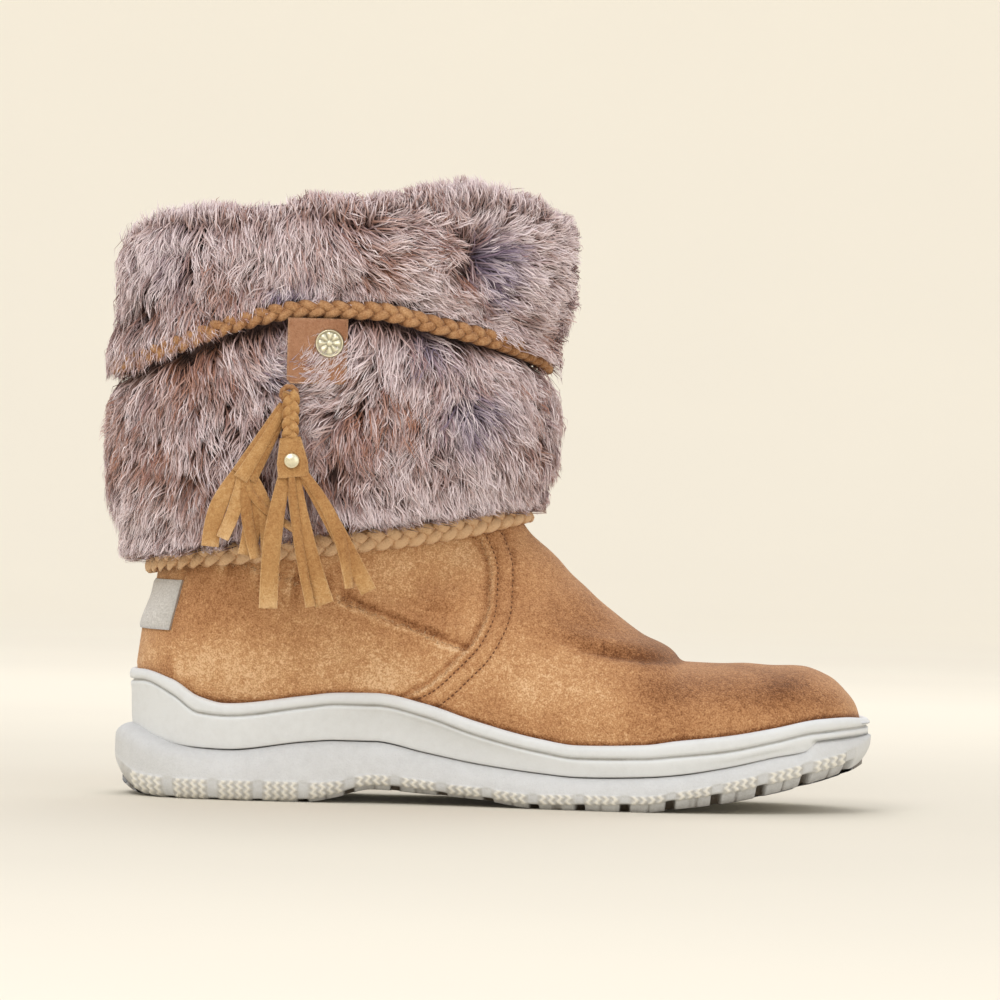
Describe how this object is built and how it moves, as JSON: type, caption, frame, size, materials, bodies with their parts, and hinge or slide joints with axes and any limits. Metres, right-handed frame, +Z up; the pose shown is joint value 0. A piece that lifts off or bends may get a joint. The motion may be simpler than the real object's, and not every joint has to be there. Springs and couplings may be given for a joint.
{
  "type": "mukluk boot",
  "caption": "Ankle-high suede winter boot with a deep fur cuff, plaited ties, tassels and a moulded wavy rubber sole; right foot",
  "frame": {"origin": "on the floor at the middle of the heel's tread", "axes": "+X to the toe, +Z up, -Y to the outer side of the right foot"},
  "size_m": [0.2934, 0.1539, 0.2382],
  "materials": {
    "outsole_rubber": "matt moulded rubber, pale grey with grime in the tread",
    "midsole_foam": "satin moulded foam, off-white grey",
    "fleece": "short fleece",
    "suede": "napped tan suede with darker rubs",
    "fur": "long soft fur, pale lilac tips over brown and slate roots",
    "suede_cord": "plaited suede strips",
    "suede_tab": "brown suede",
    "badge_metal": "pale satin metal",
    "tassel_suede": "thin cut suede strips",
    "rivet_brass": "satin metal dome",
    "woven_tag": "fine woven tape"
  },
  "bodies": {
    "root": {"outsole": "outsole_rubber", "midsole": "midsole_foam", "insole": "fleece", "upper": "suede", "fur_shaft": "fur", "braid_upper": "suede_cord", "braid_inner_side": "suede_cord", "braid_lower": "suede_cord", "keeper_tab_outer": "suede_tab", "keeper_tab_inner": "suede_tab", "badge_outer": "badge_metal", "badge_inner": "badge_metal", "thong_loop": "suede_cord", "tassel_left": "tassel_suede", "tassel_right": "tassel_suede", "rivet": "rivet_brass", "heel_label": "woven_tag"}
  },
  "joints": []
}
